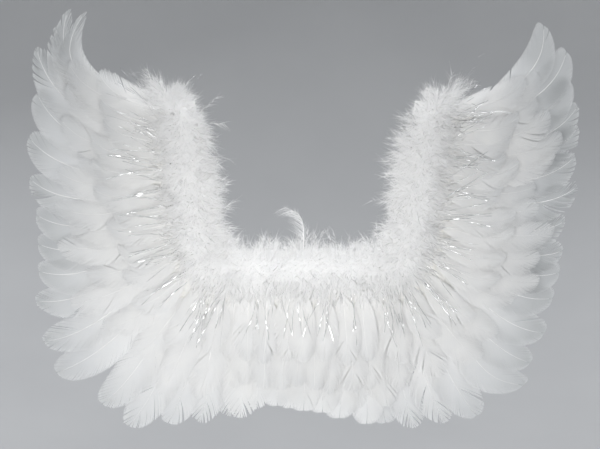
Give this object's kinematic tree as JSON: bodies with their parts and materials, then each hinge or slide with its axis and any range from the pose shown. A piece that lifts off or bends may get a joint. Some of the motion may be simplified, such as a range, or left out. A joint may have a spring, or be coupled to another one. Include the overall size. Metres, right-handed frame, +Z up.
{
  "type": "feathered costume wings",
  "caption": "White feather costume wings with a fluffy marabou edge and tinsel, on a folding wire frame with a back pad and elastic arm loops.",
  "frame": {"origin": "centre of the back pad's contact face", "axes": "+X along the wingspan to the right seen from the feather side, +Y out of the back pad towards the wearer, +Z up"},
  "size_m": [0.5975, 0.1722, 0.4506],
  "materials": {
    "feather": "dyed-white goose feather vane with a glossy quill",
    "marabou": "soft fluffy down",
    "tinsel": "thin metallised film strip, bright and crinkled",
    "felt": "matt white felt",
    "tape": "woven cotton tape with dried glue",
    "pad_cloth": "padded brushed cloth",
    "board": "plain stiff board",
    "wire": "drawn steel wire",
    "elastic": "ribbed woven elastic",
    "cord": "twisted cotton core"
  },
  "bodies": {
    "back_panel": {"back_pad": "pad_cloth", "back_board": "board", "centre_wire_frame": "wire", "centre_back_felt": "felt", "centre_base_felt": "felt", "centre_flight_tape": "tape", "centre_middle_tape": "tape", "centre_covert_tape": "tape", "centre_flight_feathers": "feather", "centre_middle_feathers": "feather", "centre_covert_feathers": "feather", "centre_tinsel": "tinsel", "centre_trim_cord": "cord", "centre_trim": "marabou", "loose_plume": "marabou", "left_strap_tabs": "elastic", "right_strap_tabs": "elastic"},
    "left_wing": {"left_wing_wire": "wire", "left_back_felt": "felt", "left_base_felt": "felt", "left_flight_tape": "tape", "left_middle_tape": "tape", "left_covert_tape": "tape", "left_corner_feathers": "feather", "left_flight_feathers": "feather", "left_tip_feathers": "feather", "left_middle_feathers": "feather", "left_covert_feathers": "feather", "left_tinsel": "tinsel", "left_trim_cord": "cord", "left_trim": "marabou"},
    "right_wing": {"right_wing_wire": "wire", "right_back_felt": "felt", "right_base_felt": "felt", "right_flight_tape": "tape", "right_middle_tape": "tape", "right_covert_tape": "tape", "right_corner_feathers": "feather", "right_flight_feathers": "feather", "right_tip_feathers": "feather", "right_middle_feathers": "feather", "right_covert_feathers": "feather", "right_tinsel": "tinsel", "right_trim_cord": "cord", "right_trim": "marabou"},
    "left_loop": {"left_strap": "elastic"},
    "right_loop": {"right_strap": "elastic"}
  },
  "joints": [
    {"name": "left_wing_fold", "type": "hinge", "parent": "back_panel", "child": "left_wing", "pos_m": [-0.07, -0.01, 0], "axis": [0, 0, -1], "range_deg": [0, 45]},
    {"name": "right_wing_fold", "type": "hinge", "parent": "back_panel", "child": "right_wing", "pos_m": [0.07, -0.01, 0], "axis": [0, 0, 1], "range_deg": [0, 45]},
    {"name": "left_strap_swing", "type": "hinge", "parent": "back_panel", "child": "left_loop", "pos_m": [-0.045, -0.001, 0], "axis": [0, 0, -1], "range_deg": [-45, 15]},
    {"name": "right_strap_swing", "type": "hinge", "parent": "back_panel", "child": "right_loop", "pos_m": [0.045, -0.001, 0], "axis": [0, 0, 1], "range_deg": [-45, 15]}
  ]
}
